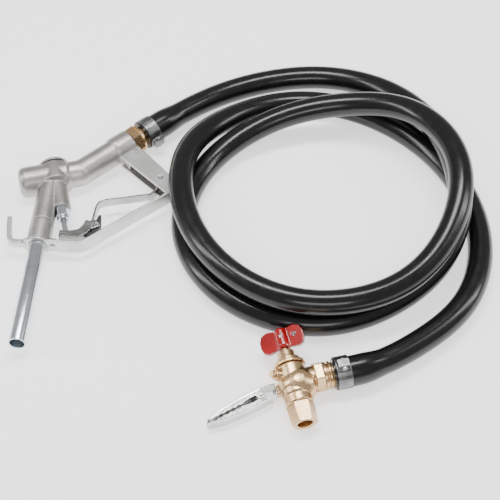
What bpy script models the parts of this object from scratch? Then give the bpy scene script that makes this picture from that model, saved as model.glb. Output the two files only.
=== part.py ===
"""Gravity-feed fuel nozzle with its hose, angle valve and earthing clip, lying on a floor.

The nozzle lies on its side. Its parts are laid out in a nozzle frame, in millimetres: the spout
points along -Y, and Z = 0 is the plane through all its axes. The valve and the clip each have a
frame of their own. Every frame is an empty, and everything above it is in metres.
"""
import math

import bmesh
import bpy
import numpy as np
from mathutils import Matrix, Vector

MM = 0.001
GAP = 0.3                                     # between two pieces that touch

# Frames
NOZZLE_AT = (-0.06825, -0.03357, 0.024)       # nozzle frame, above the floor
VALVE_AT = (0.3083, -0.2470, 0.0230)          # where the valve's two axes cross
VALVE_YAW, VALVE_PITCH = 17.0, 6.0
CLIP_AT = (0.2663, -0.2671, 0.0)              # the clip's pivot, at the floor
CLIP_YAW = 214.2

# Nozzle
CHAMBER = (5.0, 121.0)                        # stem axis meets the chamber's axis
STEM_LEAN = 17.0                              # stem axis from +Y, towards -X
BEND_REACH = 37.0                             # chamber centre to the bend in the body
GRIP_ANGLE = 44.5                             # grip axis from +X
GRIP_LENGTH = 94.0                            # bend to the inlet face
GRIP_R, BOSS_R, CHAMBER_R, DRUM_R = 19.5, 22.0, 23.0, 24.0
BORE_R, INLET_THREAD_R = 12.5, 17.0
SPOUT_R, SPOUT_WALL, SPOUT_END_Y = 12.25, 1.9, -178.5
COLLAR_TOP, COLLAR_END, COLLAR_R = 30.7, -4.4, 17.3
STEM_R, STEM_END = 4.0, -117.3
STRIP_FACE, STRIP_T, STRIP_W = -9.0, 4.0, 24.0
STRIP_CORNER = (63.8, -9.0)
STRIP_REAR = (181.5, 94.6)
PIVOT = (163.0, 121.9)
TRIGGER_T, TRIGGER_W = 3.0, 14.0
LATCH_PIN = (81.0, 31.0)

# Hose
HOSE_D = 0.036
HOSE_START, HOSE_STOP = 117.3, 54.0           # from the bend along the grip, and from the valve's centre
HOSE_TAIL_SWELL = 1.17                        # the hose is stretched over both tails
HOSE_POINTS = 78
SWELL_END, SWELL_EASE = 0.075, 0.035
STRAIGHT = 0.040                              # the hose leaves both tails straight
HOSE_ROUTE = (
    (0.170, 0.283, 0.0185),
    (0.252, 0.319, 0.0185),
    (0.338, 0.329, 0.0200),
    (0.418, 0.299, 0.0310),
    (0.479, 0.234, 0.0480),
    (0.520, 0.150, 0.0560),
    (0.534, 0.058, 0.0470),
    (0.509, -0.028, 0.0240),
    (0.446, -0.100, 0.0182),
    (0.354, -0.145, 0.0182),
    (0.262, -0.138, 0.0182),
    (0.184, -0.088, 0.0182),
    (0.139, -0.006, 0.0184),
    (0.142, 0.088, 0.0185),
    (0.194, 0.172, 0.0250),
    (0.272, 0.218, 0.0430),
    (0.360, 0.235, 0.0570),
    (0.442, 0.217, 0.0760),
    (0.504, 0.156, 0.0915),
    (0.530, 0.068, 0.0910),
    (0.513, -0.016, 0.0710),
    (0.462, -0.088, 0.0570),
    (0.388, -0.130, 0.0550),
    (0.302, -0.136, 0.0550),
    (0.220, -0.100, 0.0550),
    (0.158, -0.030, 0.0565),
    (0.129, 0.056, 0.0570),
    (0.137, 0.150, 0.0450),
    (0.194, 0.228, 0.0270),
    (0.278, 0.270, 0.0186),
    (0.364, 0.266, 0.0182),
    (0.444, 0.228, 0.0182),
    (0.510, 0.164, 0.0182),
    (0.552, 0.082, 0.0182),
    (0.564, -0.010, 0.0182),
    (0.538, -0.100, 0.0182),
    (0.472, -0.172, 0.0187),
)

# Valve
HANDLE_TURN = -18.0
SPINDLE_TOP = 72.0
SET_SCREW_Y = 67.0

# Clip
CLIP_TOP, CLIP_SHEET = 19.2, 1.5

STEPS = 28
EXACT_LEAVES_GAPS = ("nozzle_body", "guard", "trigger", "clip_moving_jaw")


def clear_scene():
    for obj in list(bpy.data.objects):
        bpy.data.objects.remove(obj)


def collection(name):
    found = bpy.data.collections.new(name)
    bpy.context.scene.collection.children.link(found)
    return found


clear_scene()
PARTS = collection("fuel_nozzle")
CUTTERS = collection("cutters")


def material(name, colour, roughness, metallic=0.0):
    made = bpy.data.materials.new(name)
    made.use_nodes = True
    shader = made.node_tree.nodes["Principled BSDF"]
    shader.inputs["Base Color"].default_value = (*colour, 1.0)
    shader.inputs["Roughness"].default_value = roughness
    shader.inputs["Metallic"].default_value = metallic
    return made


def empty(name, at, yaw=0.0, pitch=0.0):
    made = bpy.data.objects.new(name, None)
    made.location = at
    made.rotation_euler = Matrix.Rotation(math.radians(yaw), 3, "Z").to_euler()
    if pitch:
        turn = Matrix.Rotation(math.radians(yaw), 3, "Z") @ Matrix.Rotation(math.radians(pitch), 3, "X")
        made.rotation_euler = turn.to_euler()
    PARTS.objects.link(made)
    return made


def frame_along(at, direction, side=(0.0, 0.0, 1.0)):
    """Matrix whose Z is the direction, in millimetres within its parent's frame."""
    z = Vector(direction).normalized()
    x = Vector(side) - Vector(side).dot(z) * z
    if x.length < 1e-6:
        x = Vector((1.0, 0.0, 0.0)) - z.x * z
    x.normalize()
    y = z.cross(x)
    turn = Matrix((x, y, z)).transposed().to_4x4()
    return Matrix.Translation(Vector(at) * MM) @ turn


def add(name, mesh, where, parent, mat=None):
    """Object in the parts collection, or a hidden cutter when it has no material."""
    made = bpy.data.objects.new(name, mesh)
    made.parent = parent
    made.matrix_local = where
    if mat is None:
        CUTTERS.objects.link(made)
        made.hide_render = True
        made.display_type = "WIRE"
    else:
        mesh.materials.append(mat)
        PARTS.objects.link(made)
    return made


def turned(name, profile, where, parent, mat=None, steps=STEPS):
    """Solid of revolution about Z. The profile is (radius, height) down the outer side.

    It closes on the axis when its ends have no radius, and as a ring otherwise.
    """
    mesh = bpy.data.meshes.new(name)
    points = [(r * MM, 0.0, z * MM) for r, z in profile]
    edges = [(i, i + 1) for i in range(len(points) - 1)]
    if profile[0][0] > 0:
        edges.append((len(points) - 1, 0))
    mesh.from_pydata(points, edges, [])
    made = add(name, mesh, where, parent, mat)
    screw = made.modifiers.new("turn", "SCREW")
    screw.steps = steps
    screw.render_steps = steps
    screw.use_merge_vertices = True
    screw.merge_threshold = 0.00001
    screw.use_smooth_shade = True
    return made


def rod(name, radius, low, high, where, parent, mat=None, steps=STEPS):
    return turned(name, [(0, high), (radius, high), (radius, low), (0, low)], where, parent, mat, steps)


def ring(name, inner, outer, low, high, where, parent, mat=None, steps=STEPS):
    profile = [(inner, high), (outer, high), (outer, low), (inner, low)]
    return turned(name, profile, where, parent, mat, steps)


def box(name, low, high, where, parent, mat=None):
    mesh = bpy.data.meshes.new(name)
    bm = bmesh.new()
    bmesh.ops.create_cube(bm, size=1.0)
    size = Vector(high) - Vector(low)
    middle = (Vector(high) + Vector(low)) / 2
    bmesh.ops.scale(bm, vec=size * MM, verts=bm.verts)
    bmesh.ops.translate(bm, vec=middle * MM, verts=bm.verts)
    bm.to_mesh(mesh)
    bm.free()
    return add(name, mesh, where, parent, mat)


def prism(name, sides, radius_low, radius_high, low, high, where, parent, mat=None):
    """Straight or tapered prism about Z; the radii go to its corners."""
    mesh = bpy.data.meshes.new(name)
    bm = bmesh.new()
    bmesh.ops.create_cone(
        bm,
        cap_ends=True,
        segments=sides,
        radius1=radius_low * MM,
        radius2=radius_high * MM,
        depth=(high - low) * MM,
    )
    bmesh.ops.translate(bm, vec=(0, 0, (high + low) / 2 * MM), verts=bm.verts)
    bm.to_mesh(mesh)
    bm.free()
    return add(name, mesh, where, parent, mat)


def ball(name, radius, where, parent, mat=None, segments=24):
    mesh = bpy.data.meshes.new(name)
    bm = bmesh.new()
    bmesh.ops.create_uvsphere(bm, u_segments=segments, v_segments=segments // 2, radius=radius * MM)
    for face in bm.faces:
        face.smooth = True
    bm.to_mesh(mesh)
    bm.free()
    return add(name, mesh, where, parent, mat)


def as_mesh(curve):
    """The curve object, made a mesh object with its caps welded on."""
    bpy.context.view_layer.update()
    graph = bpy.context.evaluated_depsgraph_get()
    mesh = bpy.data.meshes.new_from_object(curve.evaluated_get(graph))
    bm = bmesh.new()
    bm.from_mesh(mesh)
    bmesh.ops.remove_doubles(bm, verts=bm.verts, dist=0.000005)
    bm.to_mesh(mesh)
    bm.free()
    made = bpy.data.objects.new(curve.name + "_mesh", mesh)
    for home in curve.users_collection:
        home.objects.link(made)
    made.hide_render = curve.hide_render
    made.display_type = curve.display_type
    made.parent = curve.parent
    made.matrix_world = curve.matrix_world
    name = curve.name
    bpy.data.objects.remove(curve)
    made.name = name
    return made


def plate(name, outline, low, high, where, parent, mat=None):
    """Flat outline (x, y) with its thickness from low to high along Z."""
    curve = bpy.data.curves.new(name, "CURVE")
    curve.dimensions = "2D"
    curve.fill_mode = "BOTH"
    curve.extrude = (high - low) / 2 * MM
    spline = curve.splines.new("POLY")
    spline.points.add(len(outline) - 1)
    for point, (x, y) in zip(spline.points, outline):
        point.co = (x * MM, y * MM, 0.0, 1.0)
    spline.use_cyclic_u = True
    middle = Matrix.Translation((0.0, 0.0, (high + low) / 2 * MM))
    return as_mesh(add(name, curve, where @ middle, parent, mat))


def wire(name, points, radius, where, parent, mat=None, resolution=1, swell=None):
    """Round wire or hose along its points (millimetres), with closed ends."""
    curve = bpy.data.curves.new(name, "CURVE")
    curve.dimensions = "3D"
    curve.bevel_depth = radius * MM
    curve.bevel_resolution = resolution
    curve.use_fill_caps = True
    spline = curve.splines.new("POLY")
    spline.points.add(len(points) - 1)
    for i, (point, place) in enumerate(zip(spline.points, points)):
        point.co = (*(Vector(place) * MM), 1.0)
        point.radius = 1.0 if swell is None else swell[i]
    return as_mesh(add(name, curve, where, parent, mat))


def boolean(target, tool, operation):
    step = target.modifiers.new(tool.name, "BOOLEAN")
    step.operation = operation
    step.solver = "MANIFOLD" if target.name in EXACT_LEAVES_GAPS else "EXACT"
    step.object = tool


def join(target, *tools):
    for tool in tools:
        boolean(target, tool, "UNION")


def cut(target, *tools):
    for tool in tools:
        boolean(target, tool, "DIFFERENCE")


def smooth_curve(route, count):
    """Natural cubic spline through the route's points, read at even steps of chord length."""
    points = np.array(route, float)
    chord = np.r_[0.0, np.cumsum(np.linalg.norm(np.diff(points, axis=0), axis=1))]
    step = np.diff(chord)
    size = len(points)
    matrix = np.eye(size)
    slope = np.diff(points, axis=0) / step[:, None]
    right = np.zeros_like(points)
    for i in range(1, size - 1):
        matrix[i, i - 1 : i + 2] = step[i - 1], 2 * (step[i - 1] + step[i]), step[i]
        right[i] = 6 * (slope[i] - slope[i - 1])
    bend = np.linalg.solve(matrix, right)
    at = np.linspace(0.0, chord[-1], count)
    span = np.clip(np.searchsorted(chord, at, side="right") - 1, 0, size - 2)
    b = ((at - chord[span]) / step[span])[:, None]
    a = 1 - b
    curved = ((a**3 - a) * bend[span] + (b**3 - b) * bend[span + 1]) * (step[span] ** 2)[:, None] / 6
    return a * points[span] + b * points[span + 1] + curved


def arc(centre, radius, start, stop, count):
    """Points on a circular arc, in degrees."""
    turns = [math.radians(start + (stop - start) * i / (count - 1)) for i in range(count)]
    return [(centre[0] + radius * math.cos(t), centre[1] + radius * math.sin(t)) for t in turns]


def ribbon(path, thickness):
    """Outline of a strip of even thickness that follows a path of points."""
    line = [Vector(p) for p in path]
    left, right = [], []
    for i, here in enumerate(line):
        before = line[max(i - 1, 0)]
        after = line[min(i + 1, len(line) - 1)]
        first = (here - before).normalized() if i else (after - here).normalized()
        last = (after - here).normalized() if i < len(line) - 1 else first
        mean = (first + last).normalized()
        normal = Vector((-mean.y, mean.x))
        reach = thickness / 2 / max(normal.dot(Vector((-first.y, first.x))), 0.3)
        left.append(here + normal * reach)
        right.append(here - normal * reach)
    return [tuple(p) for p in left + right[::-1]]


def helix(radius, low, high, turns, per_turn=12):
    """Points of a coil about Z."""
    count = int(turns * per_turn) + 1
    out = []
    for i in range(count):
        a = 2 * math.pi * i / per_turn
        out.append((radius * math.cos(a), radius * math.sin(a), low + (high - low) * i / (count - 1)))
    return out


# Directions and places in the nozzle frame
LEAN = math.radians(STEM_LEAN)
UP_STEM = Vector((-math.sin(LEAN), math.cos(LEAN), 0.0))
ALONG_CHAMBER = Vector((math.cos(LEAN), math.sin(LEAN), 0.0))
GRIP = math.radians(GRIP_ANGLE)
ALONG_GRIP = Vector((math.cos(GRIP), math.sin(GRIP), 0.0))
CENTRE = Vector((*CHAMBER, 0.0))
BEND = CENTRE + ALONG_CHAMBER * BEND_REACH
STEM_AXIS = frame_along(CENTRE, UP_STEM)
CHAMBER_AXIS = frame_along(CENTRE, ALONG_CHAMBER)
GRIP_AXIS = frame_along(BEND, ALONG_GRIP)
SPOUT_AXIS = frame_along((0, 0, 0), (0, 1, 0))
FLAT = Matrix.Identity(4)
# The guard arm's own axes: X along the grip, Y away from it
ARM = Matrix.Translation(BEND * MM) @ Matrix(
    (
        (ALONG_GRIP.x, ALONG_GRIP.y, 0, 0),
        (ALONG_GRIP.y, -ALONG_GRIP.x, 0, 0),
        (0, 0, -1, 0),
        (0, 0, 0, 1),
    )
)


REAR_SCREW = Matrix.Translation((BEND + ALONG_GRIP * 83 + Vector((ALONG_GRIP.y, -ALONG_GRIP.x, 0)) * 27) * MM)


def nozzle_body(parent, mat):
    chamber = [
        (0, 20),
        (CHAMBER_R - 1.5, 20),
        (CHAMBER_R, 18),
        (CHAMBER_R, -46),
        (CHAMBER_R - 2, -51),
        (CHAMBER_R - 7, -54),
        (0, -55),
    ]
    body = turned("nozzle_body", chamber, CHAMBER_AXIS, parent, mat)
    grip = [
        (0, GRIP_LENGTH),
        (BOSS_R - 1, GRIP_LENGTH),
        (BOSS_R, GRIP_LENGTH - 2),
        (BOSS_R, 66),
        (GRIP_R, 60),
        (GRIP_R, 0),
        (0, 0),
    ]
    join(
        body,
        rod("elbow_run", GRIP_R + 0.6, 0, BEND_REACH, CHAMBER_AXIS, parent),
        ball("elbow", GRIP_R + 0.55, frame_along(BEND, ALONG_GRIP), parent),
        turned("grip", grip, GRIP_AXIS, parent),
        rod("drum", DRUM_R, -18, 14.5, STEM_AXIS, parent),
        rod("spout_boss", COLLAR_R - 0.3, 31, 112, SPOUT_AXIS, parent),
        rod("stem_boss", 14.5, -65, 0, STEM_AXIS, parent),
        box("guard_lug", (64, 8, -8.2), (92, 38, 8.2), ARM, parent),
    )
    cut(
        body,
        rod("cap_seat", DRUM_R + 2, 14.5, 35, STEM_AXIS, parent),
        rod("valve_chamber", 19, -13, 30, STEM_AXIS, parent),
        rod("gland_room", 12, -92, -65.1, STEM_AXIS, parent),
        rod("seat_bore", 11, -28, -10, STEM_AXIS, parent),
        rod("bend_bore", BORE_R, 8, BEND_REACH, CHAMBER_AXIS, parent),
        ball("bend_hollow", BORE_R, frame_along(BEND, ALONG_GRIP), parent),
        rod("grip_bore", BORE_R - 0.2, 0, 80, GRIP_AXIS, parent),
        rod("inlet_thread", INLET_THREAD_R, 74, GRIP_LENGTH + 5, GRIP_AXIS, parent),
        rod("spout_socket", SPOUT_R + 0.35, 20, 60, SPOUT_AXIS, parent),
        rod("spout_bore", 10.4, 50, 97, SPOUT_AXIS, parent),
        rod("stem_bore", STEM_R + GAP, -75, -20, STEM_AXIS, parent),
        rod("packing_bore", 8.3, -75, -50, STEM_AXIS, parent),
        rod("lug_hole", 2.4, -20, 20, REAR_SCREW, parent, steps=12),
    )
    return body


def nozzle_valve(parent, mats):
    cap = [
        (0, 20.2),
        (DRUM_R - 1.8, 20.2),
        (DRUM_R, 18.6),
        (DRUM_R, 16.2),
        (18.6, 16.2),
        (18.6, 12),
        (14, 12),
        (14, 16.4),
        (0, 16.4),
    ]
    turned("chamber_cap", cap, STEM_AXIS, parent, mats["cast"])
    ring("cap_gasket", 19.3, 23.6, 14.8, 15.9, STEM_AXIS, parent, mats["rubber"])
    poppet = [(3.1, -1), (6, -1), (6, -4.7), (15.5, -4.7), (15.5, -10), (3.1, -10)]
    turned("poppet", poppet, STEM_AXIS, parent, mats["brass"])
    ring("poppet_seal", 4.6, 15, -12.7, -10.3, STEM_AXIS, parent, mats["rubber"])
    coil = helix(9.5, -3.2, 14.4, 4)
    wire("main_spring", coil, 1.1, STEM_AXIS, parent, mats["steel"])
    stem = [
        (0, -1.5),
        (2.7, -1.5),
        (2.7, -13),
        (STEM_R, -13.5),
        (STEM_R, STEM_END + 2.5),
        (STEM_R - 1.6, STEM_END),
        (0, STEM_END),
    ]
    turned("valve_stem", stem, STEM_AXIS, parent, mats["steel"], steps=20)
    ring("stem_packing", STEM_R + GAP, 8, -63, -50.3, STEM_AXIS, parent, mats["ptfe"], steps=20)
    gland = [
        (STEM_R + GAP, -63.3),
        (8, -63.3),
        (8, -65.3),
        (11, -65.3),
        (11.5, -66),
        (11.5, -79),
        (9, -86),
        (STEM_R + GAP, -86),
    ]
    turned("gland_nut", gland, STEM_AXIS, parent, mats["zinc"], steps=24)


def spout_group(parent, mats):
    inner = SPOUT_R - SPOUT_WALL
    tube = [
        (inner, 56.5),
        (SPOUT_R - 0.5, 56.5),
        (SPOUT_R, 55.5),
        (SPOUT_R, SPOUT_END_Y + 0.6),
        (SPOUT_R - 0.4, SPOUT_END_Y),
        (inner, SPOUT_END_Y),
    ]
    turned("spout", tube, SPOUT_AXIS, parent, mats["zinc"], steps=32)
    ring("spout_seal", inner + 0.4, SPOUT_R, 56.8, 59.6, SPOUT_AXIS, parent, mats["rubber"])
    collar = [
        (SPOUT_R + 0.35, COLLAR_TOP),
        (COLLAR_R - 0.6, COLLAR_TOP),
        (COLLAR_R, COLLAR_TOP - 1),
        (COLLAR_R, COLLAR_END),
        (SPOUT_R + 0.35, COLLAR_END),
    ]
    made = turned("spout_collar", collar, SPOUT_AXIS, parent, mats["cast"])
    join(made, box("collar_lug", (14.5, COLLAR_END, -5), (25.5, 2.4, 5), FLAT, parent))
    cut(made, rod("collar_hole", 2.4, -8, 2, frame_along((21.2, 0, 0), (0, 1, 0)), parent, steps=12))
    screw = [(0, 1.5), (2, 1.5), (2, -9.3), (3.6, -9.3), (3.6, -10.8), (2.8, -11.4), (0, -11.4)]
    turned("guard_front_screw", screw, frame_along((21.2, 0, 0), (0, 1, 0)), parent, mats["steel"], steps=16)


def guard(parent, mats):
    """Strip guard: hook, eye round the spout, strip under the trigger, and a two-cheek arm."""
    inner_face = STRIP_FACE + STRIP_T
    middle = (STRIP_FACE + inner_face) / 2
    run = (Vector(STRIP_REAR) - Vector(STRIP_CORNER)).normalized()
    up = Vector((-run.y, run.x)) * STRIP_T / 2
    low = Vector(STRIP_CORNER)
    path = [(-20, middle), (58, middle), tuple(low + up + run * 3), tuple(Vector(STRIP_REAR) + up)]
    made = plate("guard", ribbon(path, STRIP_T), -STRIP_W / 2, STRIP_W / 2, FLAT, parent, mats["guard"])
    hook_line = [(-18, middle), (-32, middle)] + arc((-32, middle + 11), 11, 270, 188, 7)[1:]
    hook_line += [(-46.5, 22), (-48.2, 38)]
    cheek = arc((78, 108), 16.5, 130, 15, 8) + [(94, 90), (94, 21.2), (60, 21.2)]
    eye = frame_along((0, middle, 0), (0, 1, 0))
    half = STRIP_T / 2
    join(
        made,
        plate("hook", ribbon(hook_line, 7), -6, 6, FLAT, parent),
        rod("eye", 18.2, -half - 0.2, half + 0.2, eye, parent),
        plate("cheek_upper", cheek, 8.5, 12, ARM, parent),
        plate("cheek_lower", cheek, -12, -8.5, ARM, parent),
        box("arm_web", (90.6, 40, -11), (93.8, 93, 11), ARM, parent),
    )
    cut(
        made,
        rod("eye_hole", SPOUT_R + 0.35, -10, 10, eye, parent),
        rod("front_hole", 2.3, -12, 0, frame_along((21.2, 0, 0), (0, 1, 0)), parent, steps=12),
        rod("rear_hole", 2.4, -14, 14, REAR_SCREW, parent, steps=12),
        rod("pin_hole", 3.3, -14, 14, frame_along((*PIVOT, 0), (0, 0, 1)), parent, steps=16),
    )
    screw = [(0, 14.6), (3.2, 14.6), (4.2, 13.8), (4.2, 12.3), (2.1, 12.3), (2.1, -11.5), (0, -11.5)]
    turned("guard_rear_screw", screw, REAR_SCREW, parent, mats["steel"], steps=16)


def trigger_group(parent, mats):
    knee = [(158.5, 102), (151, 92.5), (118, 84.5), (86, 77), (77.5, 72), (74.5, 62), (72.5, 36)]
    nose = [(72.5, 36), (70.5, 20), (65, 12.5), (56, 8), (44, 6.2), (28, 6)]
    path = [(PIVOT[0] - 3, PIVOT[1] - 3)] + knee + nose[1:]
    half = TRIGGER_W / 2
    made = plate("trigger", ribbon(path, TRIGGER_T), -half, half, FLAT, parent, mats["polished"])
    inside = [(28, 16.5), (45, 17), (55, 20.5), (60, 28), (63, 38)]
    flange = nose + inside
    ear = [(72.5, 22), (72.5, 40), (79, 37.5), (85, 32), (85, 29), (80, 25)]
    join(
        made,
        plate("flange_upper", flange, half - 1.8, half - 0.1, FLAT, parent),
        plate("flange_lower", flange, 0.1 - half, 1.8 - half, FLAT, parent),
        rod("pivot_eye", 6.5, -half - 0.2, half + 0.2, frame_along((*PIVOT, 0), (0, 0, 1)), parent, steps=20),
        plate("ear_upper", ear, 4.4, half - 0.25, FLAT, parent),
        plate("ear_lower", ear, 0.25 - half, -4.4, FLAT, parent),
    )
    cut(
        made,
        rod("pivot_bore", 3.3, -20, 20, frame_along((*PIVOT, 0), (0, 0, 1)), parent, steps=20),
        rod("ear_bore", 2.3, -20, 20, frame_along((*LATCH_PIN, 0), (0, 0, 1)), parent, steps=14),
    )
    rod("trigger_pin", 3, -12.9, 12.9, frame_along((*PIVOT, 0), (0, 0, 1)), parent, mats["steel"], steps=20)
    shape = [
        (77.6, 41),
        (79.8, 50),
        (83.5, 51),
        (85.0, 40),
        (86.5, 31),
        (81, 19.5),
        (72, 10),
        (67, 6.4),
        (65, 8.6),
        (72, 16.4),
        (75.9, 26),
    ]
    latch = plate("hold_open_latch", shape, -2, 4, FLAT, parent, mats["black"])
    cut(latch, rod("latch_bore", 2.3, -20, 20, frame_along((*LATCH_PIN, 0), (0, 0, 1)), parent, steps=14))
    rod("latch_pin", 2, -7.6, 7.6, frame_along((*LATCH_PIN, 0), (0, 0, 1)), parent, mats["steel"], steps=14)
    coil = helix(2.95, -3.8, -2.6, 1.5, 10)
    wire("latch_spring", coil, 0.3, frame_along((*LATCH_PIN, 0), (0, 0, 1)), parent, mats["steel"])


def clamp(name, inner, outer, low, high, where, side, parent, mats):
    """Band with a screw housing; side is the frame, from the band's, of the housing."""
    made = ring(name, inner, outer, low, high, where, parent, mats["clamp"])
    middle = (low + high) / 2
    house = where @ Matrix.Translation((0, 0, middle * MM)) @ side
    half = (high - low) / 2 - 2
    join(made, box(name + "_house", (outer - 1.2, -6, -half), (outer + 7.2, 6, half), house, parent))
    across = house @ frame_along((outer + 3.4, 0, 0), (0, 1, 0))
    cut(made, rod(name + "_hole", 2.5, -8, 8, across, parent, steps=14))
    screw = [(0, 9.5), (3.2, 9.5), (3.8, 8.8), (3.8, 6.3), (2.2, 6.3), (2.2, -7.5), (0, -7.5)]
    turned(name + "_screw", screw, across, parent, mats["steel"], steps=14)


def inlet_group(parent, mats):
    ring("inlet_gasket", BORE_R + 0.4, INLET_THREAD_R - 0.4, 74.3, 76.3, GRIP_AXIS, parent, mats["rubber"])
    tail = [
        (11, 117),
        (15.5, 117),
        (15.5, 111),
        (16.6, 110.5),
        (16.6, 76.6),
        (11, 76.6),
    ]
    made = turned("nozzle_hose_tail", tail, GRIP_AXIS, parent, mats["brass"])
    nut = prism("tail_hex", 6, 22, 22, GRIP_LENGTH + GAP, 111, GRIP_AXIS, parent)
    cut(nut, rod("tail_hex_hole", 16, GRIP_LENGTH - 5, 120, GRIP_AXIS, parent))
    join(made, nut)
    side = Matrix.Rotation(math.radians(90), 4, "Z")
    clamp("nozzle_clamp", 21.4, 23.0, 119, 139, GRIP_AXIS, side, parent, mats)


def hose(mat):
    """Rubber hose, laid in loops. It swells where the two tails stretch it."""
    nozzle, valve = Vector(NOZZLE_AT), Vector(VALVE_AT)
    start = nozzle + (BEND + ALONG_GRIP * HOSE_START) * MM
    arrive = Vector((math.cos(math.radians(VALVE_YAW)), math.sin(math.radians(VALVE_YAW)), 0))
    stop = valve + arrive * HOSE_STOP * MM
    route = [start, start + ALONG_GRIP * STRAIGHT, *HOSE_ROUTE, stop + arrive * STRAIGHT, stop]
    points = smooth_curve(route, HOSE_POINTS)
    along = np.r_[0.0, np.cumsum(np.linalg.norm(np.diff(points, axis=0), axis=1))]
    end = np.minimum(along, along[-1] - along)
    ease = np.clip((SWELL_END - end) / SWELL_EASE, 0.0, 1.0)
    swell = 1 + (HOSE_TAIL_SWELL - 1) * ease * ease * (3 - 2 * ease)
    wire("hose", list(points / MM), HOSE_D / 2 / MM, FLAT, None, mat, resolution=3, swell=list(swell))


# The valve's frame: +X to the hose, +Y to the handle, the outlet towards -Y
VALVE_X = frame_along((0, 0, 0), (1, 0, 0))
VALVE_Y = frame_along((0, 0, 0), (0, 1, 0))
PLUG_AXIS = frame_along((0, 8, 0), (-0.87, 0.1, 0.45))
BELLY = Matrix.Translation((0.005, -0.005, 0.0)) @ Matrix.Diagonal((1.2, 1.15, 1.0, 1.0))
CLIP_SCREW = frame_along((0, -4, -10), (-1, 0, 0))
BLADE = Matrix.Rotation(math.radians(HANDLE_TURN), 4, "Y")
BLADE_UP = (math.sin(math.radians(HANDLE_TURN)), 0.0, math.cos(math.radians(HANDLE_TURN)))


def valve_shell(parent, mats):
    barrel = [(0, 22), (19, 22), (20, 21), (20, -20), (19, -22), (19, -33.5), (18, -34.5), (0, -34.5)]
    body = turned("valve_body", barrel, VALVE_Y, parent, mats["brass"])
    join(
        body,
        ball("belly", 22.6, BELLY, parent),
        rod("inlet_branch", 17, 0, 30, VALVE_X, parent),
        prism("inlet_hex", 6, 22, 22, 28, 40, VALVE_X, parent),
        rod("plug_boss", 8, 0, 27.5, PLUG_AXIS, parent, steps=20),
        box("clip_boss", (-23.5, -11, -16), (-10, 3, -4), FLAT, parent),
    )
    cut(
        body,
        ball("ball_hollow", 14.7, VALVE_Y, parent),
        rod("ball_room", 15.2, 0, 18, VALVE_Y, parent),
        rod("bonnet_seat", 17, 15.5, 24, VALVE_Y, parent),
        rod("outlet_bore", 12.5, -36, -13.6, VALVE_Y, parent),
        rod("outlet_seat_bore", 10.5, -15, -8, VALVE_Y, parent),
        rod("inlet_bore", 12.6, 13.6, 42, VALVE_X, parent),
        rod("inlet_seat_bore", 10.5, 8, 15, VALVE_X, parent),
        rod("plug_bore", 4.4, 18.5, 30, PLUG_AXIS, parent, steps=16),
        rod("clip_bore", 2.4, 17, 30, CLIP_SCREW, parent, steps=14),
    )
    cap = [
        (5.3, 46),
        (9, 46),
        (11.5, 44.5),
        (11.5, 34),
        (16.5, 33),
        (17, 32),
        (17, 27),
        (21.2, 27),
        (22, 26),
        (22, 22.3),
        (16.7, 22.3),
        (16.7, 16.2),
        (5.3, 16.2),
    ]
    bonnet = turned("bonnet", cap, VALVE_Y, parent, mats["brass"])
    cut(bonnet, ring("packing_room", 4, 8, 34, 40, VALVE_Y, parent, steps=20))
    ring("spindle_packing", 5.25, 7.7, 34.3, 39.7, VALVE_Y, parent, mats["ptfe"], steps=20)
    plug = [(0, 33), (5, 33), (6, 32), (6, 27.8), (4.1, 27.8), (4.1, 19), (0, 19)]
    turned("side_plug", plug, PLUG_AXIS, parent, mats["brass"], steps=20)


def outlet(parent, mats):
    """Six-sided nipple, open at its mouth and threaded into the body's outlet."""
    down = frame_along((0, 0, 0), (0, -1, 0))
    nipple = prism("outlet_nipple", 6, 19, 17.6, 34.8, 62, down, parent, mats["brass"])
    join(nipple, rod("nipple_thread", 12.2, 13.8, 36, down, parent))
    cut(nipple, rod("nipple_bore", 10.2, 10, 70, down, parent))


def valve_core(parent, mats):
    """Ball with a right-angled passage, its two seats, the spindle and the handle."""
    made = ball("valve_ball", 14.2, VALVE_Y, parent, mats["chrome"])
    cut(
        made,
        rod("ball_outlet", 8.5, -20, 1, VALVE_Y, parent, steps=20),
        rod("ball_inlet", 8.5, -1, 20, VALVE_X, parent, steps=20),
        box("ball_slot", (-2.3, 10.6, -8.5), (2.3, 20, 8.5), FLAT, parent),
    )
    seat = [(8.8, 13.4), (10.2, 13.4), (10.2, 10.4), (9.95, 10.4)]
    turned("ball_seat_inlet", seat, VALVE_X, parent, mats["ptfe"], steps=24)
    turned("ball_seat_outlet", seat, frame_along((0, 0, 0), (0, -1, 0)), parent, mats["ptfe"], steps=24)
    top = SPINDLE_TOP
    shape = [(0, top), (4.4, top), (5, top - 0.8), (5, 15.9), (0, 15.9)]
    spindle = turned("spindle", shape, VALVE_Y, parent, mats["brass"], steps=24)
    join(spindle, box("tongue", (-2, 11, -4.5), (2, 16.5, 4.5), FLAT, parent))


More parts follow.
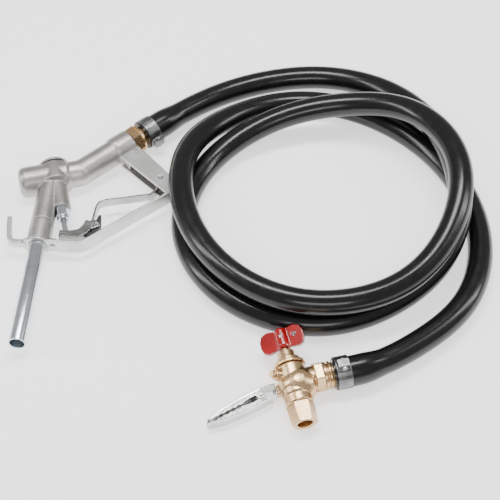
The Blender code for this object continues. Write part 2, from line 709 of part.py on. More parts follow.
def butterfly_handle(parent, mats):
    inside = SPINDLE_TOP + 0.4
    hub = [(0, 80), (7, 80), (9, 77.5), (9.6, 54), (8.6, 50), (5.3, 50), (5.3, inside), (0, inside)]
    made = turned("butterfly_handle", hub, VALVE_Y, parent, mats["red"], steps=24)
    wing = [(4, 53), (13, 50), (22, 49), (28, 52), (30.5, 59), (30.5, 69), (27, 77), (19, 81), (4, 78)]
    outline = wing + [(-x, y) for x, y in wing[::-1]]
    web = plate("wings", outline, -3.4, 3.4, BLADE, parent)
    cut(web, rod("hub_room", 7.9, 45, 76, VALVE_Y, parent, steps=24))
    hang = BLADE @ frame_along((18, 67, 0), (0, 0, 1))
    cut(web, rod("hang_hole", 3.2, -8, 8, hang, parent, steps=20))
    across = frame_along((0, SET_SCREW_Y, 0), BLADE_UP)
    join(made, web)
    cut(made, rod("screw_hole", 2.7, 3, 12, across, parent, steps=14))
    screw = [(0, 8.2), (2.35, 8.2), (2.35, 5.3), (0, 5.3)]
    turned("handle_screw", screw, across, parent, mats["steel"], steps=14)


def valve_inlet(parent, mats):
    tail = [
        (9.5, 53.7),
        (17, 53.7),
        (17, 50.5),
        (19.3, 50),
        (19.3, 47),
        (16.5, 46.5),
        (16.5, 44.5),
        (19.3, 44),
        (19.3, 40.3),
        (12.3, 40.3),
        (12.3, 13.8),
        (9.5, 13.8),
    ]
    turned("valve_hose_tail", tail, VALVE_X, parent, mats["brass"])
    clamp("valve_clamp", 21.4, 22.7, 56, 76, VALVE_X, FLAT, parent, mats)


def clip_jaw(name, side, bottom, top, web_path, parent, mat):
    """Channel with a toothed rim; side is +1 or -1, the side of the pivot where its web is."""
    web = ribbon([(x, side * y) for x, y in web_path], CLIP_SHEET)
    made = plate(name, web, bottom, top, FLAT, parent, mat)
    teeth = [(78 - 4.4 * i, 0.5 if i % 2 else 2.3) for i in range(12)]
    rim = [(-4, 6), (-4.2, -2.5), (0, -5), (4.5, -2.5), (7, 3), (16, 3.4), (24, 2.3)]
    outer = [(80, 1.9), (60, 7.2), (30, 10), (6, 10), (-4, 9.7)]
    outline = [(x, side * y) for x, y in rim + teeth[::-1] + outer]
    join(
        made,
        plate(name + "_top", outline, top - CLIP_SHEET, top - 0.1, FLAT, parent),
        plate(name + "_bottom", outline, bottom + 0.1, bottom + CLIP_SHEET, FLAT, parent),
    )
    cut(made, rod(name + "_bore", 2.2, -5, 25, FLAT, parent, steps=14))
    return made


def clip(parent, valve, mats):
    """Sprung clip. Its fixed jaw's tail is bent across the valve's boss and screwed to it."""
    fixed = [(81, 1.9), (60, 7.2), (30, 10), (6, 10), (-12, 9.6), (-23.7, 5.8), (-18.9, -9.5)]
    moving = [(81, 1.9), (60, 7.2), (30, 10), (6, 10), (-5, 9.6), (-13, 11.5)]
    made = clip_jaw("clip_fixed_jaw", -1, 0.6, CLIP_TOP, fixed, parent, mats["silver"])
    cut(made, rod("clip_lug_hole", 2.6, 21, 29, CLIP_SCREW, valve, steps=14))
    clip_jaw("clip_moving_jaw", 1, 2.5, CLIP_TOP - 1.9, moving, parent, mats["silver"])
    rod("clip_pin", 1.9, 0.3, CLIP_TOP + 0.6, FLAT, parent, mats["steel"], steps=14)
    wire("clip_spring", helix(3.6, 5.2, 14.2, 4, 10), 0.9, FLAT, parent, mats["black"])


def clip_screw(parent, mats):
    screw = [(0, 29), (2.6, 29), (3.6, 28.1), (3.6, 26.2), (2.1, 26.2), (2.1, 18), (0, 18)]
    turned("clip_screw", screw, CLIP_SCREW, parent, mats["steel"], steps=14)


def build():
    mats = {
        "cast": material("cast_aluminium", (0.62, 0.61, 0.59), 0.45, 1.0),
        "guard": material("guard_casting", (0.66, 0.66, 0.65), 0.40, 1.0),
        "zinc": material("plated_steel", (0.70, 0.72, 0.75), 0.22, 1.0),
        "polished": material("polished_steel", (0.72, 0.72, 0.72), 0.15, 1.0),
        "steel": material("screw_steel", (0.50, 0.50, 0.50), 0.35, 1.0),
        "clamp": material("clamp_steel", (0.45, 0.45, 0.45), 0.40, 1.0),
        "brass": material("brass", (0.80, 0.60, 0.36), 0.30, 1.0),
        "chrome": material("chrome", (0.80, 0.80, 0.82), 0.08, 1.0),
        "silver": material("clip_plating", (0.80, 0.80, 0.80), 0.20, 1.0),
        "red": material("red_enamel", (0.60, 0.02, 0.02), 0.25),
        "black": material("black_finish", (0.03, 0.03, 0.03), 0.40),
        "hose": material("hose_rubber", (0.02, 0.02, 0.02), 0.30),
        "rubber": material("seal_rubber", (0.03, 0.03, 0.03), 0.60),
        "ptfe": material("ptfe", (0.85, 0.85, 0.83), 0.50),
    }
    nozzle = empty("nozzle_frame", NOZZLE_AT)
    valve = empty("valve_frame", VALVE_AT, VALVE_YAW, VALVE_PITCH)
    clip_frame = empty("clip_frame", CLIP_AT, CLIP_YAW)
    nozzle_body(nozzle, mats["cast"])
    nozzle_valve(nozzle, mats)
    spout_group(nozzle, mats)
    guard(nozzle, mats)
    trigger_group(nozzle, mats)
    inlet_group(nozzle, mats)
    hose(mats["hose"])
    valve_shell(valve, mats)
    outlet(valve, mats)
    valve_core(valve, mats)
    butterfly_handle(valve, mats)
    valve_inlet(valve, mats)
    clip(clip_frame, valve, mats)
    clip_screw(valve, mats)


build()
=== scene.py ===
"""Fuel nozzle, hose, angle valve and earthing clip: finish, light and camera.

Places are in metres in the model's own frame. The nozzle's and the valve's own frames are matrices;
lengths along a piece are in millimetres until it is placed.
"""
import math

import bmesh
import bpy
import numpy as np
from mathutils import Matrix, Vector


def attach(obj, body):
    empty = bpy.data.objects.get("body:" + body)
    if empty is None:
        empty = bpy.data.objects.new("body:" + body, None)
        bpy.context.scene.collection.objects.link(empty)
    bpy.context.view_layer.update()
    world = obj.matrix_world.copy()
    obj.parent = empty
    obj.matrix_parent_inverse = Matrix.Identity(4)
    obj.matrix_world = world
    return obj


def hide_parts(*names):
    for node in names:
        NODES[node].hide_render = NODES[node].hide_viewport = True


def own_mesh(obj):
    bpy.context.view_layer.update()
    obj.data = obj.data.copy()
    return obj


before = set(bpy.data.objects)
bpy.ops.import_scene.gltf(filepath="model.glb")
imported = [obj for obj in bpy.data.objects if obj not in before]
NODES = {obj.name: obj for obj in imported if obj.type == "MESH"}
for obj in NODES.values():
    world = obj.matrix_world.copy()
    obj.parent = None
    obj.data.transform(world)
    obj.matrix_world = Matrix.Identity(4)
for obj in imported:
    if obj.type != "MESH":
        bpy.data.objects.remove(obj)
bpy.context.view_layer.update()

MM = 0.001
NOZZLE_AT = np.array((-0.06825, -0.03357, 0.024))
VALVE_AT = np.array((0.3083, -0.2470, 0.0230))
VALVE_YAW, VALVE_PITCH = 17.0, 6.0
STEM_LEAN, GRIP_ANGLE = 17.0, 44.5
CHAMBER, BEND_REACH = np.array((5.0, 121.0, 0.0)), 37.0
HOSE_D, HOSE_START, HOSE_STOP, STRAIGHT = 0.036, 117.3, 54.0, 0.040
HOSE_SWELL, SWELL_END, SWELL_EASE = 1.17, 0.075, 0.035
HOSE_ROUTE = (
    (0.170, 0.283, 0.0185),
    (0.252, 0.319, 0.0185),
    (0.338, 0.329, 0.0200),
    (0.418, 0.299, 0.0310),
    (0.479, 0.234, 0.0480),
    (0.520, 0.150, 0.0560),
    (0.534, 0.058, 0.0470),
    (0.509, -0.028, 0.0240),
    (0.446, -0.100, 0.0182),
    (0.354, -0.145, 0.0182),
    (0.262, -0.138, 0.0182),
    (0.184, -0.088, 0.0182),
    (0.139, -0.006, 0.0184),
    (0.142, 0.088, 0.0185),
    (0.194, 0.172, 0.0250),
    (0.272, 0.218, 0.0430),
    (0.360, 0.235, 0.0570),
    (0.442, 0.217, 0.0760),
    (0.504, 0.156, 0.0915),
    (0.530, 0.068, 0.0910),
    (0.513, -0.016, 0.0710),
    (0.462, -0.088, 0.0570),
    (0.388, -0.130, 0.0550),
    (0.302, -0.136, 0.0550),
    (0.220, -0.100, 0.0550),
    (0.158, -0.030, 0.0565),
    (0.129, 0.056, 0.0570),
    (0.137, 0.150, 0.0450),
    (0.194, 0.228, 0.0270),
    (0.278, 0.270, 0.0186),
    (0.364, 0.266, 0.0182),
    (0.444, 0.228, 0.0182),
    (0.510, 0.164, 0.0182),
    (0.552, 0.082, 0.0182),
    (0.564, -0.010, 0.0182),
    (0.538, -0.100, 0.0182),
    (0.472, -0.172, 0.0187),
)
UP = (0.0, 0.0, 1.0)
EVEN = (1.0, 1.0, 1.0)
FLOOR_REACH = 6.0
WELD_GAP = 0.00001              # points closer than this, in metres, are one
HOSE_STEPS, HOSE_SIDES = 900, 40


# ---------------------------------------------------------------- frames

def turn(degrees, axis):
    """Rotation by an angle about X, Y or Z, as a 3x3 array."""
    return np.array(Matrix.Rotation(math.radians(degrees), 3, axis))


def frame_matrix(at, rotation):
    """4x4 array from an origin in metres and a 3x3 rotation."""
    out = np.eye(4)
    out[:3, :3] = rotation
    out[:3, 3] = at
    return out


def along(parent, at, direction, side=UP):
    """Frame inside a parent one, with its Z on the direction; the place is in millimetres."""
    z = np.array(direction, float) / np.linalg.norm(direction)
    x = np.array(side, float) - np.dot(side, z) * z
    if np.linalg.norm(x) < 1e-6:
        x = np.array((1.0, 0.0, 0.0)) - z[0] * z
    x = x / np.linalg.norm(x)
    return parent @ frame_matrix(np.array(at, float) * MM, np.column_stack((x, np.cross(z, x), z)))


NOZZLE = frame_matrix(NOZZLE_AT, np.eye(3))
VALVE = frame_matrix(VALVE_AT, turn(VALVE_YAW, "Z") @ turn(VALVE_PITCH, "X"))
LEAN, GRIP = math.radians(STEM_LEAN), math.radians(GRIP_ANGLE)
UP_STEM = np.array((-math.sin(LEAN), math.cos(LEAN), 0.0))
ALONG_CHAMBER = np.array((math.cos(LEAN), math.sin(LEAN), 0.0))
ALONG_GRIP = np.array((math.cos(GRIP), math.sin(GRIP), 0.0))
BEND = CHAMBER + ALONG_CHAMBER * BEND_REACH
STEM = along(NOZZLE, CHAMBER, UP_STEM)
GRIP_LINE = along(NOZZLE, BEND, ALONG_GRIP)
SPOUT = along(NOZZLE, (0, 0, 0), (0, 1, 0))
INLET = along(VALVE, (0, 0, 0), (1, 0, 0))
BODY_LINE = along(VALVE, (0, 0, 0), (0, 1, 0))
OUTLET = along(VALVE, (0, 0, 0), (0, -1, 0))
PLUG = along(VALVE, (0, 8, 0), (-0.87, 0.1, 0.45))


# ---------------------------------------------------------------- camera and light

def camera():
    """A long lens looking down at about 52 degrees, level with the model's own axes."""
    shift = np.array((NOZZLE_AT[0], NOZZLE_AT[1], 0.0))
    place = np.array((0.3816, -1.1450, 1.4972)) + shift
    target = np.array((0.3024, 0.0221, 0.0)) + shift
    look = (target - place) / np.linalg.norm(target - place)
    roll = math.radians(3.88)
    right = np.array((math.cos(roll), math.sin(roll), 0.0))
    data = bpy.data.cameras.new("camera")
    data.sensor_width = 36.0
    data.lens = 94.3
    data.clip_end = 30.0
    made = bpy.data.objects.new("camera", data)
    made.matrix_world = Matrix(frame_matrix(place, np.column_stack((right, np.cross(right, look), -look))))
    bpy.context.scene.collection.objects.link(made)
    bpy.context.scene.camera = made


def area_light(name, place, target, size, power, colour=(1.0, 1.0, 1.0)):
    data = bpy.data.lights.new(name, "AREA")
    data.shape = "RECTANGLE"
    data.size, data.size_y = size
    data.energy = power
    data.color = colour
    made = bpy.data.objects.new(name, data)
    made.location = place
    made.rotation_euler = (Vector(target) - Vector(place)).to_track_quat("-Z", "Y").to_euler()
    bpy.context.scene.collection.objects.link(made)


def studio():
    """Two long soft boxes, a wide overhead one and a white room."""
    area_light("overhead", (0.1, 0.5, 2.2), (0.25, 0.0, 0.0), (1.5, 0.45), 44)
    area_light("left_box", (-1.9, -0.2, 1.5), (0.1, 0.0, 0.0), (0.35, 2.0), 30)
    area_light("right_box", (2.2, 0.3, 1.3), (0.3, 0.0, 0.0), (0.35, 1.6), 18)
    area_light("front_fill", (0.5, -1.9, 1.6), (0.2, 0.0, 0.0), (1.4, 0.5), 16)
    world = bpy.data.worlds.new("room")
    world.use_nodes = True
    sky = world.node_tree.nodes["Background"]
    sky.inputs["Color"].default_value = (1.0, 1.0, 1.0, 1.0)
    sky.inputs["Strength"].default_value = 0.42
    bpy.context.scene.world = world
    mesh = bpy.data.meshes.new("floor")
    reach = FLOOR_REACH
    corners = [(-reach, -reach, 0), (reach, -reach, 0), (reach, reach, 0), (-reach, reach, 0)]
    mesh.from_pydata(corners, [], [(0, 1, 2, 3)])
    floor = bpy.data.objects.new("floor", mesh)
    bpy.context.scene.collection.objects.link(floor)
    paper, shader = new_material("floor_paper", (0.95, 0.95, 0.95), 0.9)
    shader.inputs["Specular IOR Level"].default_value = 0.1
    shader.inputs["Emission Color"].default_value = (1.0, 1.0, 1.0, 1.0)
    shader.inputs["Emission Strength"].default_value = 1.1
    mesh.materials.append(paper)


# ---------------------------------------------------------------- materials

def new_material(name, colour, roughness, metallic=0.0):
    made = bpy.data.materials.new(name)
    made.use_nodes = True
    shader = made.node_tree.nodes["Principled BSDF"]
    shader.inputs["Base Color"].default_value = (*colour, 1.0)
    shader.inputs["Roughness"].default_value = roughness
    shader.inputs["Metallic"].default_value = metallic
    return made, shader


def node(tree, kind, **settings):
    made = tree.nodes.new(kind)
    for key, value in settings.items():
        if key in made.inputs:
            made.inputs[key].default_value = value
        else:
            setattr(made, key, value)
    return made


def object_noise(tree, scale, detail=3.0, stretch=EVEN, source="Object"):
    """Noise on Object coordinates or the piece's UVs, stretched along chosen axes."""
    coords = node(tree, "ShaderNodeTexCoord")
    mapping = node(tree, "ShaderNodeMapping")
    mapping.inputs["Scale"].default_value = stretch
    noise = node(tree, "ShaderNodeTexNoise", Scale=scale, Detail=detail)
    tree.links.new(coords.outputs[source], mapping.inputs["Vector"])
    tree.links.new(mapping.outputs["Vector"], noise.inputs["Vector"])
    return noise.outputs["Fac"]


def ramp(tree, value, stops):
    """Colour ramp through (place, colour) stops."""
    made = node(tree, "ShaderNodeValToRGB")
    elements = made.color_ramp.elements
    for i, (place, colour) in enumerate(stops):
        one = elements[i] if i < 2 else elements.new(place)
        one.position = place
        one.color = (*colour, 1.0)
    tree.links.new(value, made.inputs["Fac"])
    return made.outputs["Color"]


def spread(tree, value, low, high, start=0.3, stop=0.7):
    """The value's range start to stop, spread over low to high."""
    made = node(tree, "ShaderNodeMapRange")
    for key, number in (("From Min", start), ("From Max", stop), ("To Min", low), ("To Max", high)):
        made.inputs[key].default_value = number
    tree.links.new(value, made.inputs["Value"])
    return made.outputs["Result"]


def tone(tree, shader, value, *stops):
    """Base colour through (place, colour) stops of the value."""
    tree.links.new(ramp(tree, value, stops), shader.inputs["Base Color"])


def add_bump(tree, shader, heights, distance=0.0004):
    """Bump from (height, strength) layers, one laid on the next."""
    normal = None
    for height, strength in heights:
        bump = node(tree, "ShaderNodeBump", Strength=strength, Distance=distance)
        tree.links.new(height, bump.inputs["Height"])
        if normal is not None:
            tree.links.new(normal, bump.inputs["Normal"])
        normal = bump.outputs["Normal"]
    tree.links.new(normal, shader.inputs["Normal"])


def cast_metal(name, dark, light, roughness, grain, strength):
    """Shot-blasted casting: fine grain and broad tone changes."""
    made, shader = new_material(name, light, roughness, 1.0)
    tree = made.node_tree
    broad = object_noise(tree, 22.0, 4.0)
    fine = object_noise(tree, grain, 4.0)
    tone(tree, shader, broad, (0.30, dark), (0.62, light))
    tree.links.new(spread(tree, fine, roughness - 0.08, roughness + 0.10), shader.inputs["Roughness"])
    add_bump(tree, shader, ((fine, strength), (object_noise(tree, 140.0), strength * 0.6)))
    return made


def machined_metal(name, dark, light, roughness, stretch, scale, strength):
    """Turned, drawn or plated metal: fine streaks one way and slow tone changes."""
    made, shader = new_material(name, light, roughness, 1.0)
    tree = made.node_tree
    streaks = object_noise(tree, scale, 3.0, stretch)
    broad = object_noise(tree, 30.0, 3.0)
    tone(tree, shader, broad, (0.28, dark), (0.65, light))
    tree.links.new(spread(tree, streaks, roughness * 0.7, roughness * 1.4), shader.inputs["Roughness"])
    add_bump(tree, shader, ((streaks, strength),), 0.0002)
    return made


def enamel(name, dark, light):
    """Thick gloss enamel with a faint orange-peel skin."""
    made, shader = new_material(name, light, 0.17)
    shader.inputs["Coat Weight"].default_value = 0.5
    shader.inputs["Coat Roughness"].default_value = 0.06
    tree = made.node_tree
    tone(tree, shader, object_noise(tree, 45.0), (0.3, dark), (0.6, light))
    add_bump(tree, shader, ((object_noise(tree, 380.0), 0.12),))
    return made


def hose_rubber():
    """Extruded glossy rubber: length-wise die lines, a slight ripple and faint dust."""
    made, shader = new_material("hose_rubber", (0.005, 0.005, 0.006), 0.20)
    shader.inputs["Specular IOR Level"].default_value = 0.45
    tree = made.node_tree
    lines = object_noise(tree, 1.0, 3.0, (90.0, 1.6, 1.0), source="UV")
    ripple = object_noise(tree, 60.0, 2.0)
    dust = object_noise(tree, 260.0, 5.0)
    tone(tree, shader, dust, (0.45, (0.004, 0.004, 0.005)), (0.85, (0.010, 0.010, 0.011)))
    tree.links.new(spread(tree, ripple, 0.19, 0.27), shader.inputs["Roughness"])
    add_bump(tree, shader, ((lines, 0.06), (ripple, 0.03)), 0.0004)
    return made


def black_plate(name, roughness=0.42):
    made, shader = new_material(name, (0.018, 0.018, 0.02), roughness)
    tree = made.node_tree
    grain = object_noise(tree, 700.0)
    tone(tree, shader, grain, (0.3, (0.012, 0.012, 0.013)), (0.7, (0.035, 0.035, 0.037)))
    add_bump(tree, shader, ((grain, 0.2),))
    return made


def white_plastic(name):
    made, shader = new_material(name, (0.85, 0.85, 0.82), 0.5)
    tree = made.node_tree
    tone(tree, shader, object_noise(tree, 200.0), (0.3, (0.80, 0.80, 0.77)), (0.7, (0.88, 0.88, 0.86)))
    return made


def clamp_steel():
    """Band steel with the worm drive's slanted slots, on the band's UVs."""
    made, shader = new_material("clamp_steel", (0.36, 0.36, 0.37), 0.34, 1.0)
    tree = made.node_tree
    coords = node(tree, "ShaderNodeTexCoord")
    mapping = node(tree, "ShaderNodeMapping")
    mapping.inputs["Scale"].default_value = (1.0, 0.35, 1.0)
    wave = node(tree, "ShaderNodeTexWave", Scale=14.0, Distortion=0.0)
    tree.links.new(coords.outputs["UV"], mapping.inputs["Vector"])
    tree.links.new(mapping.outputs["Vector"], wave.inputs["Vector"])
    streaks = object_noise(tree, 420.0, 3.0)
    broad = object_noise(tree, 60.0, 2.0)
    tone(tree, shader, broad, (0.3, (0.13, 0.13, 0.132)), (0.7, (0.26, 0.26, 0.262)))
    tree.links.new(spread(tree, streaks, 0.26, 0.44), shader.inputs["Roughness"])
    add_bump(tree, shader, ((wave.outputs["Fac"], 0.35), (streaks, 0.08)), 0.0005)
    return made


# Castings: dark tone, light tone, roughness, grain per metre and grain strength
CASTINGS = {
    "cast_aluminium": ((0.34, 0.325, 0.305), (0.52, 0.505, 0.48), 0.42, 900.0, 0.35),
    "guard_casting": ((0.50, 0.49, 0.475), (0.68, 0.67, 0.66), 0.38, 1100.0, 0.25),
    "brass": ((0.48, 0.30, 0.15), (0.72, 0.49, 0.27), 0.27, 700.0, 0.18),
}
# Machined or plated: dark tone, light tone, roughness, streak stretch, streak scale and strength
MACHINED = {
    "plated_steel": ((0.58, 0.63, 0.67), (0.80, 0.84, 0.88), 0.20, (1.0, 0.04, 1.0), 160.0, 0.12),
    "polished_steel": ((0.30, 0.295, 0.29), (0.50, 0.49, 0.48), 0.22, (0.1, 1.0, 1.0), 160.0, 0.12),
    "screw_steel": ((0.40, 0.40, 0.41), (0.60, 0.60, 0.61), 0.30, EVEN, 400.0, 0.12),
    "chrome": ((0.70, 0.70, 0.72), (0.85, 0.85, 0.87), 0.08, EVEN, 160.0, 0.03),
    "clip_plating": ((0.52, 0.51, 0.50), (0.78, 0.77, 0.76), 0.20, (1.0, 0.2, 1.0), 160.0, 0.12),
}


def make_materials():
    """Every finish that the pieces and the model's material slots use, by name."""
    made = {name: cast_metal(name, *row) for name, row in CASTINGS.items()}
    made.update({name: machined_metal(name, *row) for name, row in MACHINED.items()})
    made["clamp_steel"] = clamp_steel()
    made["red_enamel"] = enamel("red_enamel", (0.22, 0.0, 0.002), (0.38, 0.001, 0.003))
    made["black_finish"] = black_plate("black_finish")
    made["hose_rubber"] = hose_rubber()
    made["seal_rubber"] = black_plate("seal_rubber", 0.6)
    made["ptfe"] = white_plastic("ptfe")
    return made


# ---------------------------------------------------------------- surfaces

def grid_mesh(name, points, close_u, close_v, uv=None):
    """Mesh of a grid of points (rows, columns, 3), joined round in either direction."""
    rows, columns = points.shape[:2]
    i = np.arange(rows if close_v else rows - 1)[:, None]
    j = np.arange(columns if close_u else columns - 1)[None, :]
    below, right = (i + 1) % rows, (j + 1) % columns
    here, under = i * columns, below * columns
    quads = np.stack((here + j, here + right, under + right, under + j), axis=-1)
    mesh = bpy.data.meshes.new(name)
    mesh.from_pydata(points.reshape(-1, 3), [], quads.reshape(-1, 4))
    if uv is not None:
        corners = np.stack((uv[:-1, :-1], uv[:-1, 1:], uv[1:, 1:], uv[1:, :-1]), axis=2)
        layer = mesh.uv_layers.new(name="along")
        corners = corners[: quads.shape[0], : quads.shape[1]]
        layer.data.foreach_set("uv", corners.reshape(-1).astype(np.float32))
    return mesh


def finish_mesh(mesh, sharp=38.0):
    """Merges seams and poles, turns the faces outwards and shades the mesh."""
    bm = bmesh.new()
    bm.from_mesh(mesh)
    bmesh.ops.remove_doubles(bm, verts=bm.verts, dist=0.000002)
    bmesh.ops.recalc_face_normals(bm, faces=bm.faces)
    for face in bm.faces:
        face.smooth = True
    bm.to_mesh(mesh)
    bm.free()
    mesh.set_sharp_from_angle(angle=math.radians(sharp))


def piece(name, mesh, finish, body, *stands_for):
    """Object for a finished mesh: material, the body it rides and the nodes it shows."""
    made = bpy.data.objects.new(name, mesh)
    bpy.context.scene.collection.objects.link(made)
    mesh.materials.clear()
    mesh.materials.append(MATERIALS[finish])
    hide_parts(*stands_for)
    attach(made, body)
    return made


def rounded(profile, radius=0.4, steps=3):
    """Each inner corner of the profile becomes a quadratic curve that starts and ends near it."""
    points = np.array([tuple(p) + (0.0,) * (3 - len(p)) for p in profile], float)
    out = [points[:1]]
    t = np.linspace(0.0, 1.0, steps + 1)[:, None]
    for before, here, after in zip(points[:-2], points[1:-1], points[2:]):
        a, b = before - here, after - here
        length_a, length_b = np.linalg.norm(a[:2]), np.linalg.norm(b[:2])
        reach = min(radius, 0.45 * length_a, 0.45 * length_b)
        start, stop = here + a / length_a * reach, here + b / length_b * reach
        start[2] = stop[2] = here[2]
        out.append((1 - t) ** 2 * start + 2 * t * (1 - t) * here + t * t * stop)
    out.append(points[-1:])
    return np.vstack(out)


def turned(name, profile, axis, finish, body, *stands_for, radius=0.4, segments=96, steps=3):
    """Surface of revolution: (radius, height, flat) rows carried round the axis.

    Where flat is more than 0 the row is six-sided: its radius at an angle is the lesser of the
    round radius and flat / cos(angle from the middle of the side), which leaves chamfered corners.
    """
    ring = profile[0][0] > 0
    loop = list(profile) + [profile[0], profile[1]] if ring else profile
    rows = rounded(loop, radius, steps)
    if ring:
        rows = rows[1:-1]
    angle = np.linspace(0.0, 2 * np.pi, segments, endpoint=False)
    side = np.pi / 3
    from_middle = (angle + side / 2) % side - side / 2
    round_radius, height, flat = rows[:, :1], rows[:, 1:2], rows[:, 2:3]
    reach = np.where(flat > 0, np.minimum(round_radius, flat / np.cos(from_middle)), round_radius)
    points = np.stack((reach * np.cos(angle), reach * np.sin(angle), height + 0 * angle), axis=-1) * MM
    points = points @ axis[:3, :3].T + axis[:3, 3]
    run = np.r_[0.0, np.cumsum(np.linalg.norm(np.diff(rows[:, :2], axis=0), axis=1))] * MM * 10
    run = np.r_[run, run[-1] + 0.01]
    u, v = np.meshgrid(np.linspace(0.0, 1.0, segments + 1), run)
    mesh = grid_mesh(name, points, True, ring, np.stack((u, v), axis=-1))
    finish_mesh(mesh)
    return piece(name, mesh, finish, body, *stands_for)


def softened(name, node_name, voxel, rounds, finish, body, factor=0.5):
    """The node's own solid with its edges eased, as casting, pressing or tumbling leaves them.

    Its surface is read again on a fine lattice, and every point then moves part of the way to the
    mean of its neighbours, a set number of times.
    """
    mesh = NODES[node_name].data.copy()
    bm = bmesh.new()
    bm.from_mesh(mesh)
    bmesh.ops.remove_doubles(bm, verts=bm.verts, dist=WELD_GAP)
    bm.to_mesh(mesh)
    bm.free()
    rough = bpy.data.objects.new(name + "_rough", mesh)
    bpy.context.scene.collection.objects.link(rough)
    lattice = rough.modifiers.new("lattice", "REMESH")
    lattice.mode = "VOXEL"
    lattice.voxel_size = voxel * MM
    ease = rough.modifiers.new("ease", "SMOOTH")
    ease.factor = factor
    ease.iterations = rounds
    bpy.context.view_layer.update()
    graph = bpy.context.evaluated_depsgraph_get()
    made = bpy.data.meshes.new_from_object(rough.evaluated_get(graph))
    bpy.data.objects.remove(rough)
    made.name = name
    made.polygons.foreach_set("use_smooth", np.ones(len(made.polygons), bool))
    return piece(name, made, finish, body, node_name)


# ---------------------------------------------------------------- hose

def smooth_route(route, count):
    """Natural cubic spline through the route's points, read at even steps of chord length."""
    points = np.array(route, float)
    chord = np.r_[0.0, np.cumsum(np.linalg.norm(np.diff(points, axis=0), axis=1))]
    step = np.diff(chord)
    size = len(points)
    inner = np.arange(1, size - 1)
    matrix = np.eye(size)
    matrix[inner, inner - 1] = step[:-1]
    matrix[inner, inner] = 2 * (step[:-1] + step[1:])
    matrix[inner, inner + 1] = step[1:]
    slope = np.diff(points, axis=0) / step[:, None]
    right = np.zeros_like(points)
    right[1:-1] = 6 * np.diff(slope, axis=0)
    bend = np.linalg.solve(matrix, right)
    at = np.linspace(0.0, chord[-1], count)
    span = np.clip(np.searchsorted(chord, at, side="right") - 1, 0, size - 2)
    b = ((at - chord[span]) / step[span])[:, None]
    a = 1 - b
    curved = ((a**3 - a) * bend[span] + (b**3 - b) * bend[span + 1]) * (step[span] ** 2)[:, None] / 6
    return a * points[span] + b * points[span + 1] + curved


def hose_line(count):
    start = (GRIP_LINE @ np.array((0, 0, HOSE_START * MM, 1)))[:3]
    stop = (INLET @ np.array((0, 0, HOSE_STOP * MM, 1)))[:3]
    arrive = INLET[:3, 2]
    route = [start, start + ALONG_GRIP * STRAIGHT, *HOSE_ROUTE, stop + arrive * STRAIGHT, stop]
    return smooth_route(route, count)


def make_hose():
    """Circle carried along the route. Its radius grows where the two tails stretch it."""
    line = hose_line(HOSE_STEPS)
    run = np.r_[0.0, np.cumsum(np.linalg.norm(np.diff(line, axis=0), axis=1))]
    ahead = np.gradient(line, axis=0)
    ahead /= np.linalg.norm(ahead, axis=1)[:, None]
    side = np.cross(np.array(UP), ahead)
    side /= np.linalg.norm(side, axis=1)[:, None]
    over = np.cross(ahead, side)
    end = np.minimum(run, run[-1] - run)
    ease = np.clip((SWELL_END - end) / SWELL_EASE, 0.0, 1.0)
    radius = HOSE_D / 2 * (1 + (HOSE_SWELL - 1) * ease * ease * (3 - 2 * ease))
    edge = 0.0012
    line = np.vstack((line[:1], line[:1], line, line[-1:], line[-1:]))
    radius = np.r_[0.0, radius[0] - edge, radius[0], radius[1:-1], radius[-1], radius[-1] - edge, 0.0]
    side = np.vstack((side[:1], side[:1], side, side[-1:], side[-1:]))
    over = np.vstack((over[:1], over[:1], over, over[-1:], over[-1:]))
    run = np.r_[run[0], run[0], run, run[-1], run[-1]]
    angle = np.linspace(0.0, 2 * np.pi, HOSE_SIDES, endpoint=False)[None, :, None]
    outwards = side[:, None, :] * np.cos(angle) + over[:, None, :] * np.sin(angle)
    points = line[:, None, :] + radius[:, None, None] * outwards
    u, v = np.meshgrid(np.linspace(0.0, 1.0, HOSE_SIDES + 1), run)
    mesh = grid_mesh("hose_cover", points, True, False, np.stack((u, v), axis=-1))
    finish_mesh(mesh, 60.0)
    return piece("hose_cover", mesh, "hose_rubber", "nozzle", "hose")


# ---------------------------------------------------------------- pieces

SOLIDS = (
    ("body_casting", "nozzle_body", 0.9, 8, "cast_aluminium", "nozzle"),
    ("guard_strip", "guard", 0.7, 5, "guard_casting", "nozzle"),
    ("trigger_lever", "trigger", 0.5, 3, "polished_steel", "trigger"),
    ("latch_hook", "hold_open_latch", 0.4, 4, "black_finish", "latch"),
    ("spout_clamp_collar", "spout_collar", 0.5, 5, "cast_aluminium", "nozzle"),
    ("nozzle_band", "nozzle_clamp", 0.45, 2, "clamp_steel", "nozzle"),
    ("valve_band", "valve_clamp", 0.45, 2, "clamp_steel", "nozzle"),
    ("valve_casting", "valve_body", 0.6, 16, "brass", "nozzle"),
    ("handle_wings", "butterfly_handle", 0.5, 9, "red_enamel", "handle"),
    ("clip_channel", "clip_fixed_jaw", 0.4, 2, "clip_plating", "nozzle"),
    ("clip_jaw_channel", "clip_moving_jaw", 0.4, 2, "clip_plating", "clip_jaw"),
)
SCREWS = (
    ("front_screw_head", "guard_front_screw", 0.2, 2, "screw_steel", "nozzle"),
    ("rear_screw_head", "guard_rear_screw", 0.2, 2, "screw_steel", "nozzle"),
    ("nozzle_band_screw", "nozzle_clamp_screw", 0.2, 2, "screw_steel", "nozzle"),
    ("valve_band_screw", "valve_clamp_screw", 0.2, 2, "screw_steel", "nozzle"),
    ("clip_lug_screw", "clip_screw", 0.2, 2, "screw_steel", "nozzle"),
    ("clip_rivet", "clip_pin", 0.2, 3, "screw_steel", "nozzle"),
    ("trigger_rivet", "trigger_pin", 0.25, 3, "screw_steel", "nozzle"),
)


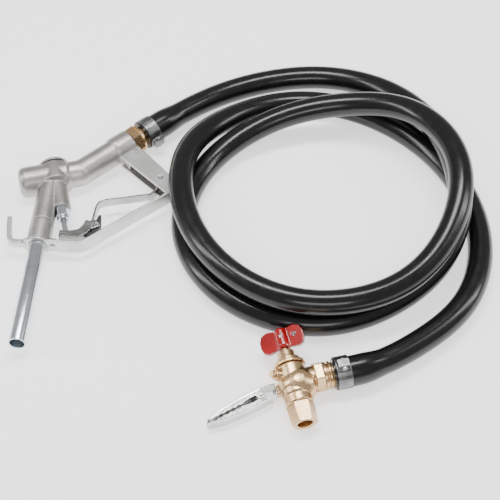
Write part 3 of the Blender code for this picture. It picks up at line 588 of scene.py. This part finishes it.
def make_turned():
    """The machined and screwed parts, each a profile carried round its own axis."""
    inner = 12.25 - 1.9
    spout = [
        (inner, 56.4, 0), (12.25, 56.4, 0), (12.25, -178.5 + 0.1, 0), (inner, -178.5 + 0.1, 0),
    ]
    turned("spout_tube", spout, SPOUT, "plated_steel", "nozzle", "spout", radius=0.7, segments=128)
    cap = [
        (0, 20.1, 0), (16.5, 20.1, 0), (16.9, 19.6, 0), (18.2, 19.6, 0), (18.6, 20.1, 0),
        (24.0, 20.1, 0), (24.0, 16.3, 0), (18.5, 16.3, 0), (18.5, 12.1, 0), (14.1, 12.1, 0),
        (14.1, 16.5, 0), (0, 16.5, 0),
    ]
    turned("cap_cover", cap, STEM, "cast_aluminium", "nozzle", "chamber_cap", radius=1.1, segments=112)
    gland = [
        (4.6, -63.4, 0), (8, -63.4, 0), (8, -65.4, 0), (11.4, -65.4, 10.2), (11.4, -79, 10.2),
        (8.9, -79.5, 0),
        (8.7, -85.9, 0), (4.6, -85.9, 0),
    ]
    turned("gland_hexagon", gland, STEM, "plated_steel", "nozzle", "gland_nut", radius=0.6)
    tail = [
        (11.1, 116.9, 0), (15.4, 116.9, 0), (15.4, 111, 0), (21.2, 110.9, 0), (21.2, 107.5, 0),
        (21.9, 107, 19.0),
        (21.9, 94.6, 19.0), (16.5, 94.5, 0), (16.5, 76.7, 0), (11.1, 76.7, 0),
    ]
    turned("nozzle_tail", tail, GRIP_LINE, "brass", "nozzle", "nozzle_hose_tail", radius=0.7)
    valve_tail = [
        (9.6, 53.6, 0), (16.9, 53.6, 0), (16.9, 50.5, 0), (19.2, 50, 0), (19.2, 47, 0), (16.5, 46.5, 0),
        (16.5, 44.5, 0), (19.2, 44, 0), (19.2, 40.4, 0), (12.2, 40.4, 0), (12.2, 13.9, 0), (9.6, 13.9, 0),
    ]
    turned("valve_tail", valve_tail, INLET, "brass", "nozzle", "valve_hose_tail", radius=0.7)
    bonnet = [
        (5.4, 45.9, 0), (9, 45.9, 0), (11.4, 44.5, 0), (11.4, 34, 0), (16.4, 33, 0), (16.9, 32, 0),
        (16.9, 27, 0),
        (21.2, 26.9, 0), (21.9, 26, 0), (21.9, 22.4, 0), (16.6, 22.4, 0), (16.6, 16.3, 0), (5.4, 16.3, 0),
    ]
    turned("bonnet_turning", bonnet, BODY_LINE, "brass", "nozzle", "bonnet", radius=0.7)
    nipple = [
        (10.3, 10.1, 0), (12.1, 10.1, 0), (12.1, 34.9, 0), (18.9, 34.9, 16.4), (17.5, 61.9, 15.2),
        (10.3, 61.9, 0),
    ]
    turned("nipple_hexagon", nipple, OUTLET, "brass", "nozzle", "outlet_nipple", radius=0.8)
    plug = [
        (0, 32.9, 0), (5.9, 32.9, 5.2), (5.9, 27.9, 5.2), (4, 27.8, 0), (4, 19.1, 0), (0, 19.1, 0),
    ]
    turned("plug_head", plug, PLUG, "brass", "nozzle", "side_plug", radius=0.5, segments=72)


def make_spring():
    """Circle carried along a helix round the stem."""
    turns, low, high, coil, wire = 4, -3.2, 14.4, 9.5, 1.1
    angle = np.linspace(0.0, 2 * np.pi * turns, 48 * turns)
    line = np.stack((coil * np.cos(angle), coil * np.sin(angle), np.linspace(low, high, len(angle))), axis=1)
    outwards = np.stack((np.cos(angle), np.sin(angle), 0 * angle), axis=1)
    ahead = np.gradient(line, axis=0)
    ahead /= np.linalg.norm(ahead, axis=1)[:, None]
    over = np.cross(ahead, outwards)
    radius = np.r_[0.0, np.full(len(angle), wire), 0.0]
    line, outwards, over = (np.vstack((x[:1], x, x[-1:])) for x in (line, outwards, over))
    around = np.linspace(0.0, 2 * np.pi, 16, endpoint=False)[None, :, None]
    off_line = outwards[:, None] * np.cos(around) + over[:, None] * np.sin(around)
    points = line[:, None] + radius[:, None, None] * off_line
    points = points * MM @ STEM[:3, :3].T + STEM[:3, 3]
    mesh = grid_mesh("main_coil", points, True, False)
    finish_mesh(mesh)
    made = piece("main_coil", mesh, "screw_steel", "nozzle", "main_spring")
    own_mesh(made)


def carry_over():
    """The nodes shown as they are, with a finish for each."""
    for one in NODES.values():
        for holder in one.material_slots:
            holder.material = MATERIALS[holder.material.name.split(".")[0]]
        if not one.hide_render:
            weld = one.modifiers.new("weld", "WELD")
            weld.merge_threshold = WELD_GAP


camera()
MATERIALS = make_materials()
hose_cover = make_hose()
for row in SOLIDS + SCREWS:
    softened(*row)
make_turned()
make_spring()
carry_over()
studio()
line = hose_line(400)
on_the_hose = [bpy.data.objects[name] for name in (
    "valve_band", "valve_band_screw", "valve_tail", "valve_casting", "bonnet_turning", "plug_head",
    "nipple_hexagon", "handle_wings",
)]
on_the_hose += [NODES[name] for name in (
    "spindle_packing", "valve_ball", "ball_seat_inlet", "ball_seat_outlet", "spindle", "handle_screw",
)]
